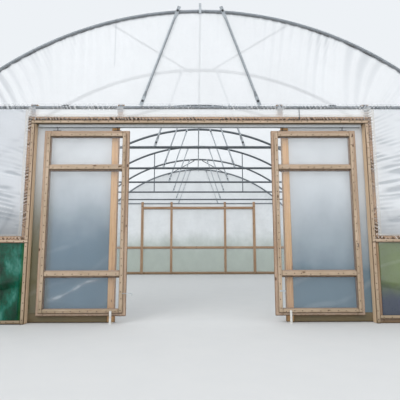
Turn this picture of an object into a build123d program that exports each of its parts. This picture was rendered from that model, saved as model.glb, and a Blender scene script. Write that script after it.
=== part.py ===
"""Polytunnel greenhouse: steel hoops under a film cover, with a timber gable and two sliding doors."""
import os
from math import cos, hypot, radians, sin, sqrt

from build123d import *

os.makedirs("parts", exist_ok=True)

# Hoops: a wide crown arc that runs into tighter legs
bay = 1800.0
bays = 6
crown_radius = 4900.0
crown_height = 4380.0
haunch_angle = 70.0
leg_radius = 3200.0
hoop_tube_radius = 30.0
film_thickness = 4.0

# Bars and braces between the hoops
crossbar_radius = 25.0
crossbar_short = 12.0
front_crossbar_height = 2925.0
inner_crossbar_drop = 70.0
purlin_radius = 17.0
strut_radius = 17.0
strut_top_x = 315.0
strut_foot_x = 830.0
strut_rise_past_hoop = 45.0
inner_strut_drop = 20.0
strut_foot_rise = 90.0
flat_end_width = 48.0
flat_end_length = 140.0
flat_end_thickness = 8.0
flat_end_taper = 70.0
bolt_hole_radius = 6.0
drop_strut_x = 1450.0
drop_strut_bay_count = 4
brace_hoop_x = 1260.0
brace_crown_x = 160.0
brace_radius = 15.0
ridge_tab_rise = 80.0
ridge_tab_width = 36.0

# Timber of the door surround
post_width = 100.0
post_depth = 100.0
post_inner_x = 2283.0
header_drop = 138.0
header_thickness = 100.0
tongue_rise = 60.0
stud_x = 1118.0
stud_width = 90.0
batten_width = 44.0
batten_thickness = 20.0
saddle_thickness = 4.0
saddle_width = 40.0
saddle_ear = 26.0

# Fixed panels behind the doors
panel_depth = 75.0
panel_head_height = 95.0
jamb_inner_x = 1145.0
jamb_width = 95.0
panel_stile_width = 90.0
sill_height = 120.0
sill_thickness = 45.0
panel_film_setback = 10.0

# Sliding doors
door_track_gap = 53.0
door_ground_gap = 91.0
door_jamb_lap = 159.0
door_post_gap = 120.0
door_frame_depth = 45.0
door_stile_width = 95.0
door_rail_width = 95.0
door_batten_width = 52.0
door_rail_batten_width = 62.0
door_batten_thickness = 18.0
door_batten_inset = 38.0
door_film_inset = 8.0
door_mid_rail_height = 585.0
door_upper_rail_drop = 571.0
door_to_panel_gap = 10.0
joint_gap = 1.0

# Door track and hangers
track_width = 46.0
track_height = 38.0
track_wall = 3.0
track_slot = 22.0
track_end_gap = 33.0
track_bracket_width = 40.0
track_bracket_thickness = 4.0
track_bracket_count = 5
hanger_inset = 170.0
wheel_radius = 12.0
wheel_width = 7.0
wheel_spread = 34.0
wheel_track = 28.0
wheel_play = 0.3
axle_radius = 3.0
trolley_thickness = 8.0
trolley_length = 64.0
trolley_height = 20.0
hanger_bolt_radius = 5.0
hanger_plate = 110.0
hanger_plate_thickness = 6.0

# Door guides, hook, eye and pull
guide_radius = 15.0
guide_height = 165.0
guide_clearance = 6.0
guide_foot_thickness = 6.0
guide_foot_width = 50.0
guide_jamb_inset = 30.0
hook_height = 384.0
hook_radius = 4.0
hook_bend = 6.0
hook_tip = 26.0
hook_root = 44.0
hook_reach = 86.0
hook_stand = 7.0
hasp_rise = 18.0
hasp_length = 78.0
hasp_height = 18.0
hasp_thickness = 4.0
hasp_inset = 55.0
pull_height = 1030.0
pull_depth = 30.0
pull_drop = 45.0
pull_bend = 9.0

# Rails of the gable beside the surround, and boards along the sides
rail_height = 95.0
rail_depth = 50.0
waist_height = 1042.0
left_ground_rail = 50.0
right_ground_rail = 100.0
sheet_joint = 2.0
base_board_height = 150.0
base_board_thickness = 47.0
film_ground_gap = 20.0

# Places worked out from the sizes above
crown_centre_z = crown_height - crown_radius
haunch_x = crown_radius * sin(radians(haunch_angle))
haunch_z = crown_centre_z + crown_radius * cos(radians(haunch_angle))
leg_centre_x = haunch_x - leg_radius * sin(radians(haunch_angle))
leg_centre_z = haunch_z - leg_radius * cos(radians(haunch_angle))
half_width = leg_centre_x + leg_radius
front_y = -bays * bay / 2
rear_y = bays * bay / 2
hoop_ys = [front_y + bay * index for index in range(bays + 1)]
film_front = front_y - hoop_tube_radius - film_thickness
film_back = front_y - hoop_tube_radius
post_front = film_back
post_back = post_front + post_depth
post_outer_x = post_inner_x + post_width
post_top = front_crossbar_height + tongue_rise
tongue_front = front_y + crossbar_radius
inner_crossbar_height = front_crossbar_height - inner_crossbar_drop
header_top = front_crossbar_height - header_drop
header_bottom = header_top - header_thickness
track_top = header_bottom
track_bottom = track_top - track_height
panel_front = post_back
door_back = panel_front - door_to_panel_gap
door_front = door_back - door_frame_depth
door_centre_y = (door_front + door_back) / 2
door_film_front = door_front - film_thickness
door_face = door_film_front - door_batten_thickness
door_top = track_bottom - door_track_gap
door_height = door_top - door_ground_gap
door_upper_rail_height = door_top - door_upper_rail_drop
door_open_x = jamb_inner_x - door_jamb_lap
door_width = post_inner_x - door_post_gap - door_open_x
guide_x = jamb_inner_x + guide_jamb_inset
panel_head_bottom = header_top - panel_head_height
waist_top = waist_height + rail_height
waist_joint = waist_height + batten_width / 2
batten_front = film_front - batten_thickness
batten_outer_x = post_inner_x + batten_width


def hoop_x(height, grow=0.0):
    """Distance from the centre line out to the hoop's centre line, or to a line parallel to it."""
    radius = crown_radius + grow
    leg = leg_radius + grow
    haunch = crown_centre_z + radius * cos(radians(haunch_angle))
    if height > haunch:
        return sqrt(radius**2 - (height - crown_centre_z) ** 2)
    if height > leg_centre_z:
        return leg_centre_x + sqrt(leg**2 - (height - leg_centre_z) ** 2)
    return leg_centre_x + leg


def crown_z(x):
    """Height of the crown arc's centre line above a distance from the centre line."""
    return crown_centre_z + sqrt(crown_radius**2 - x**2)


def upright(y):
    """A plane that faces the front, with X across and Z up."""
    return Plane.XZ.offset(-y)


def arch_face(grow):
    """Filled outline of the hoop, grown outward from its centre line and carried below the ground."""
    crown = crown_radius + grow
    leg = leg_radius + grow
    foot_x = leg_centre_x + leg
    foot_z = leg_centre_z - leg_radius
    with BuildLine() as outline:
        CenterArc((0, crown_centre_z), crown, 90 - haunch_angle, 2 * haunch_angle)
        CenterArc((leg_centre_x, leg_centre_z), leg, 0, 90 - haunch_angle)
        CenterArc((-leg_centre_x, leg_centre_z), leg, 90 + haunch_angle, 90 - haunch_angle)
        Polyline((foot_x, leg_centre_z), (foot_x, foot_z), (-foot_x, foot_z), (-foot_x, leg_centre_z))
    make_face(outline.edges())


def keep_above(height, mode=Mode.SUBTRACT):
    """Cut a sketch off below a height."""
    with Locations((0, height - crown_radius)):
        Rectangle(4 * crown_radius, 2 * crown_radius, mode=mode)


def block(x_low, x_high, y_low, y_high, z_low, z_high, mode=Mode.ADD):
    """A sawn timber or plate between two corners."""
    with Locations(((x_low + x_high) / 2, (y_low + y_high) / 2, (z_low + z_high) / 2)):
        Box(x_high - x_low, y_high - y_low, z_high - z_low, mode=mode)


def both_sides(x_low, x_high, y_low, y_high, z_low, z_high):
    """The same timber on the left and on the right."""
    block(x_low, x_high, y_low, y_high, z_low, z_high)
    block(-x_high, -x_low, y_low, y_high, z_low, z_high)


def hoop_tube():
    """One bent hoop tube, standing on the ground at both ends."""
    foot_z = leg_centre_z - leg_radius
    with BuildLine(upright(0)) as path:
        Line((half_width, foot_z), (half_width, leg_centre_z))
        CenterArc((leg_centre_x, leg_centre_z), leg_radius, 0, 90 - haunch_angle)
        CenterArc((0, crown_centre_z), crown_radius, 90 - haunch_angle, 2 * haunch_angle)
        CenterArc((-leg_centre_x, leg_centre_z), leg_radius, 90 + haunch_angle, 90 - haunch_angle)
        Line((-half_width, leg_centre_z), (-half_width, foot_z))
    with BuildSketch(Plane(origin=(half_width, 0, foot_z), z_dir=(0, 0, 1))) as section:
        Circle(hoop_tube_radius)
    sweep(section.sketch, path=path.wires()[0])
    split(bisect_by=Plane.XY, keep=Keep.TOP)


def crossbar_tube(y, height):
    """A level tube that reaches into the hoop's legs on both sides."""
    reach = hoop_x(height) - crossbar_short
    with BuildSketch(Plane.YZ.offset(-reach)) as section:
        with Locations((y, height)):
            Circle(crossbar_radius)
    extrude(section.sketch, amount=2 * reach)


def flattened_tube(start, end, seat_y, outward):
    """A strut between two points of one upright plane, its ends hammered flat and drilled.

    The flat ends lie on seat_y. The round part stands off it, outward being -1 or 1 along Y.
    """
    rise_x = end[0] - start[0]
    rise_z = end[1] - start[1]
    length = hypot(rise_x, rise_z)
    along = Vector(rise_x, 0, rise_z).normalized()
    flat_y = seat_y + outward * flat_end_thickness / 2
    round_shift = outward * (strut_radius - flat_end_thickness / 2)
    for origin, direction in ((start, along), (end, -along)):
        base = Plane(origin=(origin[0], flat_y, origin[1]), x_dir=(0, 1, 0), z_dir=direction)
        with BuildSketch(base) as flat:
            Rectangle(flat_end_thickness, flat_end_width)
        extrude(flat.sketch, amount=flat_end_length)
        with BuildSketch(base.offset(flat_end_length)) as taper_start:
            Rectangle(flat_end_thickness, flat_end_width)
        with BuildSketch(base.offset(flat_end_length + flat_end_taper)) as taper_end:
            with Locations((round_shift, 0)):
                Circle(strut_radius)
        loft([taper_start.sketch, taper_end.sketch])
        hole_point = Vector(origin[0], flat_y, origin[1]) + direction * (flat_end_length / 2)
        with Locations(Plane(origin=hole_point, z_dir=(0, -1, 0))):
            Cylinder(bolt_hole_radius, 4 * flat_end_thickness, mode=Mode.SUBTRACT)
    middle = Plane(origin=(start[0], flat_y, start[1]), x_dir=(0, 1, 0), z_dir=along)
    end_length = flat_end_length + flat_end_taper
    with BuildSketch(middle.offset(end_length)) as section:
        with Locations((round_shift, 0)):
            Circle(strut_radius)
    extrude(section.sketch, amount=length - 2 * end_length)


def strut_pair(seat_y, outward, crossbar_height, rise):
    """Two struts that lean in from the crossbar to the crown, their tips a rise above the hoop."""
    foot_z = crossbar_height + strut_foot_rise - flat_end_length / 2
    hoop_z = crown_z(strut_top_x) + hoop_tube_radius
    lean = hypot(strut_foot_x - strut_top_x, hoop_z - foot_z)
    past = rise / lean
    top_x = strut_top_x - (strut_foot_x - strut_top_x) * past
    top_z = hoop_z + (hoop_z - foot_z) * past
    for side in (-1, 1):
        flattened_tube((side * strut_foot_x, foot_z), (side * top_x, top_z), seat_y, outward)


def straight_tube(start, end, radius):
    """A round tube between two points."""
    run = Vector(*end) - Vector(*start)
    with BuildSketch(Plane(origin=start, z_dir=run.normalized())) as section:
        Circle(radius)
    extrude(section.sketch, amount=run.length)


def finish(part, name):
    """Name a finished piece and write its file."""
    part.label = name
    export_step(part, f"parts/{name}.step")


# Hoops, one node each, all bent alike
with BuildPart() as bent_hoop:
    hoop_tube()
hoops = {}
for index, y in enumerate(hoop_ys):
    with BuildPart() as hoop:
        with Locations((0, y, 0)):
            add(bent_hoop.part)
    hoops[y] = hoop.part
    hoop_name = "front_hoop" if index == 0 else "rear_hoop" if index == bays else f"hoop_{index + 1}"
    finish(hoop.part, hoop_name)

# Ridge purlin under the crown, with the drilled tab that stands above the front hoop
with BuildPart() as ridge_purlin:
    purlin_z = crown_height - hoop_tube_radius - purlin_radius
    straight_tube((0, film_back + film_thickness, purlin_z), (0, -film_back - film_thickness, purlin_z),
                  purlin_radius)
    tab_top = crown_height + hoop_tube_radius + ridge_tab_rise
    block(-ridge_tab_width / 2, ridge_tab_width / 2, film_front - flat_end_thickness, film_front,
          purlin_z, tab_top)
    with Locations(Plane(origin=(0, film_front, tab_top - ridge_tab_width / 2), z_dir=(0, -1, 0))):
        Cylinder(bolt_hole_radius, 4 * flat_end_thickness, mode=Mode.SUBTRACT)
finish(ridge_purlin.part, "ridge_purlin")

# Crossbars, cut to the round of the hoop that they meet
with BuildPart() as front_crossbar:
    crossbar_tube(front_y, front_crossbar_height)
    add(hoops[front_y], mode=Mode.SUBTRACT)
finish(front_crossbar.part, "front_crossbar")

with BuildPart() as rear_crossbar:
    crossbar_tube(rear_y, front_crossbar_height)
    add(hoops[rear_y], mode=Mode.SUBTRACT)
finish(rear_crossbar.part, "rear_crossbar")

with BuildPart() as inner_crossbars:
    for y in hoop_ys[1:-1]:
        crossbar_tube(y, inner_crossbar_height)
        add(hoops[y], mode=Mode.SUBTRACT)
finish(inner_crossbars.part, "inner_crossbars")

# Leaning struts between each crossbar and its hoop's crown
with BuildPart() as front_struts:
    strut_pair(film_front, -1, front_crossbar_height, strut_rise_past_hoop)
finish(front_struts.part, "front_struts")

with BuildPart() as inner_struts:
    for y in hoop_ys[1:-1]:
        strut_pair(y - hoop_tube_radius, -1, inner_crossbar_height, -inner_strut_drop)
finish(inner_struts.part, "inner_struts")

with BuildPart() as rear_struts:
    strut_pair(-film_front, 1, front_crossbar_height, strut_rise_past_hoop)
finish(rear_struts.part, "rear_struts")

# Wind braces from the end hoops up to the crown of the next ones
with BuildPart() as wind_braces:
    for end_y, next_y in ((front_y, hoop_ys[1]), (rear_y, hoop_ys[-2])):
        for side in (-1, 1):
            end_z = crown_z(brace_hoop_x) - hoop_tube_radius - brace_radius
            next_z = crown_z(brace_crown_x) - hoop_tube_radius - brace_radius
            straight_tube((side * brace_hoop_x, end_y, end_z), (side * brace_crown_x, next_y, next_z),
                          brace_radius)
    for y in (front_y, hoop_ys[1], hoop_ys[-2], rear_y):
        add(hoops[y], mode=Mode.SUBTRACT)
finish(wind_braces.part, "wind_braces")

# Upright drop struts between one of the inner hoops and its crossbar
with BuildPart() as drop_struts:
    drop_y = hoop_ys[drop_strut_bay_count]
    for side in (-1, 1):
        straight_tube((side * drop_strut_x, drop_y, inner_crossbar_height),
                      (side * drop_strut_x, drop_y, crown_z(drop_strut_x)), brace_radius)
    crossbar_tube_cut = Plane(origin=(0, drop_y, inner_crossbar_height), z_dir=(1, 0, 0))
    with Locations(crossbar_tube_cut):
        Cylinder(crossbar_radius, 3 * drop_strut_x, mode=Mode.SUBTRACT)
    add(hoops[drop_y], mode=Mode.SUBTRACT)
finish(drop_struts.part, "drop_struts")


# Outer posts of the door surround, halved above the header into a tongue behind the crossbar
with BuildPart() as outer_posts:
    both_sides(post_inner_x, post_outer_x, post_front, post_back, 0, header_top)
    both_sides(post_inner_x, post_outer_x, tongue_front, post_back, header_top, post_top)
finish(outer_posts.part, "outer_posts")

# Header between the posts
with BuildPart() as header:
    block(-post_inner_x, post_inner_x, post_front, post_back, header_bottom, header_top)
finish(header.part, "header")

# Short studs from the header up behind the crossbar
stud_inner_x = stud_x - stud_width / 2
stud_outer_x = stud_x + stud_width / 2
with BuildPart() as header_studs:
    both_sides(stud_inner_x, stud_outer_x, tongue_front, post_back, header_top, post_top)
finish(header_studs.part, "header_studs")

# Pipe saddles that strap the crossbar to the posts' tongues and the studs
with BuildPart() as post_saddles:
    saddle_outer = crossbar_radius + saddle_thickness
    for x in (-post_inner_x - post_width / 2, -stud_x, stud_x, post_inner_x + post_width / 2):
        with BuildSketch(Plane.YZ.offset(x - saddle_width / 2)) as saddle:
            with Locations((front_y, front_crossbar_height)):
                Circle(saddle_outer)
                Rectangle(2 * crossbar_radius, 2 * saddle_outer, align=(Align.MIN, Align.CENTER))
                Circle(crossbar_radius, mode=Mode.SUBTRACT)
                Rectangle(2 * crossbar_radius, 2 * crossbar_radius, align=(Align.MIN, Align.CENTER),
                          mode=Mode.SUBTRACT)
            with Locations((tongue_front, front_crossbar_height)):
                Rectangle(2 * crossbar_radius, 4 * crossbar_radius, align=(Align.MIN, Align.CENTER),
                          mode=Mode.SUBTRACT)
            for side in (-1, 1):
                ear_z = front_crossbar_height + side * (crossbar_radius + saddle_ear / 2)
                with Locations((tongue_front - saddle_thickness / 2, ear_z)):
                    Rectangle(saddle_thickness, saddle_ear)
        extrude(saddle.sketch, amount=saddle_width)
    mirror(about=Plane.XZ)
finish(post_saddles.part, "post_saddles")

# Head rail, jambs and outer stiles of the fixed panels behind the doors
with BuildPart() as panel_head:
    block(-post_outer_x, post_outer_x, panel_front, panel_front + panel_depth,
          panel_head_bottom, header_top)
finish(panel_head.part, "panel_head")

with BuildPart() as jamb_posts:
    both_sides(jamb_inner_x, jamb_inner_x + jamb_width, panel_front, panel_front + panel_depth,
               0, panel_head_bottom)
finish(jamb_posts.part, "jamb_posts")

with BuildPart() as panel_stiles:
    both_sides(post_outer_x - panel_stile_width, post_outer_x, panel_front, panel_front + panel_depth,
               0, panel_head_bottom)
finish(panel_stiles.part, "panel_stiles")

# Gravel boards at the foot of the fixed panels
panel_inner_x = jamb_inner_x + jamb_width
panel_outer_x = post_outer_x - panel_stile_width
with BuildPart() as sill_boards:
    both_sides(panel_inner_x, panel_outer_x, panel_front, panel_front + sill_thickness, 0, sill_height)
finish(sill_boards.part, "sill_boards")

# Film of the fixed panels, one sheet on each side
for side, side_name in ((-1, "left"), (1, "right")):
    with BuildPart() as fixed_film:
        film_low, film_high = sorted((side * panel_inner_x, side * panel_outer_x))
        block(film_low, film_high, panel_front + panel_film_setback,
              panel_front + panel_film_setback + film_thickness, sill_height, panel_head_bottom)
    finish(fixed_film.part, f"{side_name}_fixed_film")

# Door track: a box channel with a slot along its underside
track_half = post_inner_x - track_end_gap
with BuildPart() as door_track:
    with BuildSketch(Plane.YZ.offset(-track_half)):
        with Locations((door_centre_y, (track_top + track_bottom) / 2)):
            Rectangle(track_width, track_height)
            Rectangle(track_width - 2 * track_wall, track_height - 2 * track_wall, mode=Mode.SUBTRACT)
        with Locations((door_centre_y, track_bottom)):
            Rectangle(track_slot, 4 * track_wall, mode=Mode.SUBTRACT)
    extrude(amount=2 * track_half)
finish(door_track.part, "door_track")

# Strap brackets that hold the track up to the header
with BuildPart() as track_brackets:
    bracket_outer = track_width + 2 * track_bracket_thickness
    bracket_ends = track_half - track_bracket_width / 2
    for index in range(track_bracket_count):
        x = -bracket_ends + 2 * bracket_ends * index / (track_bracket_count - 1)
        with BuildSketch(Plane.YZ.offset(x - track_bracket_width / 2)) as strap:
            for side in (-1, 1):
                strap_y = door_centre_y + side * (track_width + track_bracket_thickness) / 2
                with Locations((strap_y, (track_top + track_bottom) / 2)):
                    Rectangle(track_bracket_thickness, track_height)
        extrude(strap.sketch, amount=track_bracket_width)
finish(track_brackets.part, "track_brackets")

# Battens nailed over the film along the opening, on the header and the posts above the waist rails
waist_batten_top = waist_height + batten_width
with BuildPart() as surround_battens:
    block(-batten_outer_x, batten_outer_x, batten_front, film_front,
          header_bottom, header_bottom + batten_width)
    both_sides(post_inner_x, batten_outer_x, batten_front, film_front,
               waist_batten_top + joint_gap, header_bottom - joint_gap)
finish(surround_battens.part, "surround_battens")

# Waist and ground rails of the gable, from the surround out to the hoop's legs
rail_back = film_back + rail_depth


def side_span(side, inner, outer):
    """A stretch beside the surround, as low and high X, on the left (-1) or right (1)."""
    return sorted((side * inner, side * outer))


def ground_rail_top(side):
    """Top of the ground rail, which stands higher on the right."""
    return left_ground_rail if side < 0 else right_ground_rail


with BuildPart() as gable_rails:
    for side in (-1, 1):
        for rail_low, rail_high in ((0, ground_rail_top(side)), (waist_height, waist_top)):
            rail_end = hoop_x(rail_high) - crossbar_short
            block(*side_span(side, post_outer_x, rail_end), film_back, rail_back, rail_low, rail_high)
    add(hoops[front_y], mode=Mode.SUBTRACT)
finish(gable_rails.part, "gable_rails")

# Battens over the edges of the lower panels; the waist battens run on across the posts
with BuildPart() as lower_battens:
    both_sides(post_inner_x, hoop_x(waist_batten_top) - hoop_tube_radius, batten_front, film_front,
               waist_height, waist_batten_top)
    both_sides(post_inner_x, batten_outer_x, batten_front, film_front, 0, waist_height - joint_gap)
    for side in (-1, 1):
        rail_top = ground_rail_top(side)
        batten_end = hoop_x(rail_top) - hoop_tube_radius
        block(*side_span(side, batten_outer_x + joint_gap, batten_end), batten_front, film_front,
              rail_top - batten_width, rail_top)
finish(lower_battens.part, "lower_battens")

# Film of the front gable, from the hoop in to the surround and down to the waist rails
with BuildPart() as front_gable_film:
    with BuildSketch(upright(film_back)) as gable_sheet:
        arch_face(hoop_tube_radius)
        keep_above(waist_joint + sheet_joint / 2)
        with Locations((0, header_bottom / 2)):
            Rectangle(2 * post_inner_x, header_bottom, mode=Mode.SUBTRACT)
    extrude(gable_sheet.sketch, amount=film_thickness)
finish(front_gable_film.part, "front_gable_film")

# Lower panels: netting on the left, film on the right
for side, panel_name in ((-1, "left_vent_mesh"), (1, "right_lower_film")):
    with BuildPart() as lower_panel:
        with BuildSketch(upright(film_back)) as lower_sheet:
            arch_face(hoop_tube_radius)
            keep_above(film_ground_gap)
            with Locations((0, waist_joint - sheet_joint / 2 + crown_radius)):
                Rectangle(4 * crown_radius, 2 * crown_radius, mode=Mode.SUBTRACT)
            with Locations((side * (post_inner_x - crown_radius), 0)):
                Rectangle(2 * crown_radius, 4 * crown_radius, mode=Mode.SUBTRACT)
        extrude(lower_sheet.sketch, amount=film_thickness)
    finish(lower_panel.part, panel_name)

# Cover film over all the hoops
with BuildPart() as roof_film:
    with BuildSketch(upright(-film_front)) as cover:
        arch_face(hoop_tube_radius + film_thickness)
        with BuildSketch(mode=Mode.PRIVATE) as inner_arch:
            arch_face(hoop_tube_radius)
        add(inner_arch.sketch, mode=Mode.SUBTRACT)
        keep_above(film_ground_gap)
    extrude(cover.sketch, amount=-2 * film_front)
finish(roof_film.part, "roof_film")

# Boards that hold the cover against the legs
with BuildPart() as base_boards:
    board_x = half_width + hoop_tube_radius + film_thickness
    both_sides(board_x, board_x + base_board_thickness, film_front, -film_front, 0, base_board_height)
finish(base_boards.part, "base_boards")

# Rear gable: the same outer timbers, with plain posts and film where the front has its doors
rear_front = -film_back - rail_depth
with BuildPart() as rear_posts:
    add(outer_posts.part)
    add(header_studs.part)
    both_sides(stud_inner_x, stud_outer_x, post_front, post_back, 0, header_bottom)
    mirror(about=Plane.XZ)
    split(bisect_by=Plane.XZ, keep=Keep.BOTTOM)
finish(rear_posts.part, "rear_posts")

with BuildPart() as rear_header:
    block(-post_inner_x, post_inner_x, -post_back, -post_front, header_bottom, header_top)
finish(rear_header.part, "rear_header")


def rear_bays(middle, inner, outer, end, y_low, y_high, z_low, z_high):
    """Level timbers across the rear gable: one between the studs, then two bays on each side.

    middle, inner and outer are the studs' and posts' faces that the timbers meet, end is the far end.
    """
    block(-middle, middle, y_low, y_high, z_low, z_high)
    both_sides(inner[0], inner[1], y_low, y_high, z_low, z_high)
    both_sides(outer, end, y_low, y_high, z_low, z_high)


with BuildPart() as rear_rails:
    for rail_low, rail_high in ((0, right_ground_rail), (waist_height, waist_top)):
        rear_bays(stud_inner_x, (stud_outer_x, post_inner_x), post_outer_x,
                  hoop_x(rail_high) - crossbar_short, rear_front, -film_back, rail_low, rail_high)
    add(hoops[rear_y], mode=Mode.SUBTRACT)
finish(rear_rails.part, "rear_rails")

with BuildPart() as rear_battens:
    rear_face = -batten_front
    stud_batten_in = stud_x - batten_width / 2
    stud_batten_out = stud_x + batten_width / 2
    block(-batten_outer_x, batten_outer_x, -film_front, rear_face, header_bottom,
          header_bottom + batten_width)
    both_sides(post_inner_x, batten_outer_x, -film_front, rear_face, 0, header_bottom - joint_gap)
    both_sides(stud_batten_in, stud_batten_out, -film_front, rear_face, 0, header_bottom - joint_gap)
    for batten_top in (right_ground_rail, waist_batten_top):
        rear_bays(stud_batten_in - joint_gap, (stud_batten_out + joint_gap, post_inner_x - joint_gap),
                  batten_outer_x + joint_gap, hoop_x(batten_top) - hoop_tube_radius,
                  -film_front, rear_face, batten_top - batten_width, batten_top)
finish(rear_battens.part, "rear_battens")

with BuildPart() as rear_gable_film:
    with BuildSketch(upright(-film_front)) as rear_sheet:
        arch_face(hoop_tube_radius)
        keep_above(film_ground_gap)
    extrude(rear_sheet.sketch, amount=film_thickness)
finish(rear_gable_film.part, "rear_gable_film")

# Guides that keep the foot of each door from swinging out
guide_y = door_face - guide_clearance - guide_radius
with BuildPart() as door_guides:
    for side in (-1, 1):
        block(side * guide_x - guide_foot_width / 2, side * guide_x + guide_foot_width / 2,
              guide_y - guide_radius, panel_front, 0, guide_foot_thickness)
        with BuildSketch(Plane.XY) as guide_foot:
            with Locations((side * guide_x, guide_y)):
                Circle(guide_radius)
        extrude(guide_foot.sketch, amount=guide_height)
    fillet(door_guides.edges().filter_by(GeomType.CIRCLE).group_by(Axis.Z)[-1], guide_radius / 3)
finish(door_guides.part, "door_guides")


def door_span(side):
    """Left and right edges of a door, where it stands open."""
    return sorted((side * door_open_x, side * (door_open_x + door_width)))


def door_frame(side):
    """Halved stiles and rails, glued up as one frame with three panes."""
    left, right = door_span(side)
    rails = (door_ground_gap, door_mid_rail_height, door_upper_rail_height, door_top - door_rail_width)
    with BuildSketch(upright(door_back)) as leaf:
        with Locations(((left + right) / 2, door_ground_gap + door_height / 2)):
            Rectangle(door_width, door_height)
        for lower, upper in zip(rails, rails[1:]):
            pane_low = lower + door_rail_width
            with Locations(((left + right) / 2, (pane_low + upper) / 2)):
                Rectangle(door_width - 2 * door_stile_width, upper - pane_low, mode=Mode.SUBTRACT)
    extrude(leaf.sketch, amount=door_frame_depth)


def door_battens(side):
    """Battens nailed on through the film, with a hairline joint where they meet."""
    left, right = door_span(side)
    inner_left = left + door_batten_inset + door_batten_width
    inner_right = right - door_batten_inset - door_batten_width
    low = door_ground_gap + door_batten_inset
    high = door_top - door_batten_inset
    faces = (door_face, door_film_front)
    for x in (left + door_batten_inset, inner_right):
        block(x, x + door_batten_width, *faces, low, high)
    for z in (low, high - door_batten_width):
        block(inner_left + joint_gap, inner_right - joint_gap, *faces, z, z + door_batten_width)
    reveal = (door_rail_width - door_rail_batten_width) / 2
    for rail in (door_mid_rail_height, door_upper_rail_height):
        block(inner_left + joint_gap, inner_right - joint_gap, *faces,
              rail + reveal, rail + door_rail_width - reveal)


def hanger(x):
    """A trolley with four wheels in the track, its bolt down through the slot, and its door plate."""
    wheel_z = track_bottom + track_wall + wheel_play + wheel_radius
    for wheel_x in (x - wheel_spread / 2, x + wheel_spread / 2):
        with BuildSketch(upright(door_centre_y + wheel_track / 2 + wheel_width / 2)) as axle:
            with Locations((wheel_x, wheel_z)):
                Circle(axle_radius)
        extrude(axle.sketch, amount=wheel_track + wheel_width)
        for wheel_y in (door_centre_y - wheel_track / 2, door_centre_y + wheel_track / 2):
            with BuildSketch(upright(wheel_y + wheel_width / 2)) as wheel:
                with Locations((wheel_x, wheel_z)):
                    Circle(wheel_radius)
            extrude(wheel.sketch, amount=wheel_width)
    block(x - trolley_length / 2, x + trolley_length / 2, door_centre_y - trolley_thickness / 2,
          door_centre_y + trolley_thickness / 2, wheel_z - trolley_height / 2, wheel_z + trolley_height / 2)
    with BuildSketch(Plane.XY.offset(door_top)) as bolt:
        with Locations((x, door_centre_y)):
            Circle(hanger_bolt_radius)
    extrude(bolt.sketch, amount=wheel_z - door_top)
    block(x - hanger_plate / 2, x + hanger_plate / 2, door_front, door_back,
          door_top, door_top + hanger_plate_thickness)


for side, side_name in ((-1, "left"), (1, "right")):
    left, right = door_span(side)

    with BuildPart() as frame:
        door_frame(side)
    finish(frame.part, f"{side_name}_door_frame")

    with BuildPart() as film:
        block(left + door_film_inset, right - door_film_inset, door_film_front, door_front,
              door_ground_gap + door_film_inset, door_top - door_film_inset)
    finish(film.part, f"{side_name}_door_film")

    with BuildPart() as battens:
        door_battens(side)
    finish(battens.part, f"{side_name}_door_battens")

    with BuildPart() as hangers:
        for x in (left + hanger_inset, right - hanger_inset):
            hanger(x)
    finish(hangers.part, f"{side_name}_door_hangers")

# Hook on the left door that reaches past its edge, and the hasp on the right door
hook_y = door_face - hook_stand - hook_radius
with BuildPart() as left_door_hook:
    root_x = -door_open_x - hook_root
    tip_x = -door_open_x + hook_reach
    with BuildLine() as hook_line:
        FilletPolyline((root_x, door_face, hook_height), (root_x, hook_y, hook_height),
                       (tip_x, hook_y, hook_height), (tip_x, hook_y, hook_height - hook_tip),
                       radius=hook_bend)
    with BuildSketch(Plane(origin=(root_x, door_face, hook_height), z_dir=(0, -1, 0))) as rod:
        Circle(hook_radius)
    sweep(rod.sketch, path=hook_line.wires()[0])
finish(left_door_hook.part, "left_door_hook")

with BuildPart() as right_door_hasp:
    hasp_x = door_open_x + hasp_inset
    hasp_z = hook_height + hasp_rise
    block(hasp_x, hasp_x + hasp_length, door_face - hasp_thickness, door_face, hasp_z, hasp_z + hasp_height)
finish(right_door_hasp.part, "right_door_hasp")

# Bent rod pull on the outer stile of the right door
with BuildPart() as right_door_pull:
    pull_x = door_open_x + door_width - door_batten_inset - door_batten_width / 2
    pull_y = door_face - pull_depth
    with BuildLine() as pull_line:
        FilletPolyline((pull_x, door_face, pull_height), (pull_x, pull_y, pull_height),
                       (pull_x, pull_y, pull_height - pull_drop),
                       (pull_x, door_face, pull_height - pull_drop), radius=pull_bend)
    with BuildSketch(Plane(origin=(pull_x, door_face, pull_height), z_dir=(0, -1, 0))) as rod:
        Circle(hook_radius)
    sweep(rod.sketch, path=pull_line.wires()[0])
finish(right_door_pull.part, "right_door_pull")
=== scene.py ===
"""Looks of the polytunnel greenhouse: galvanised steel, sawn timber, creased film, netting and fixings."""
from math import cos, exp, hypot, pi, radians, sin, sqrt, tau

import bpy
import bmesh
import numpy as np
from mathutils import Matrix, Vector, noise


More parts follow.
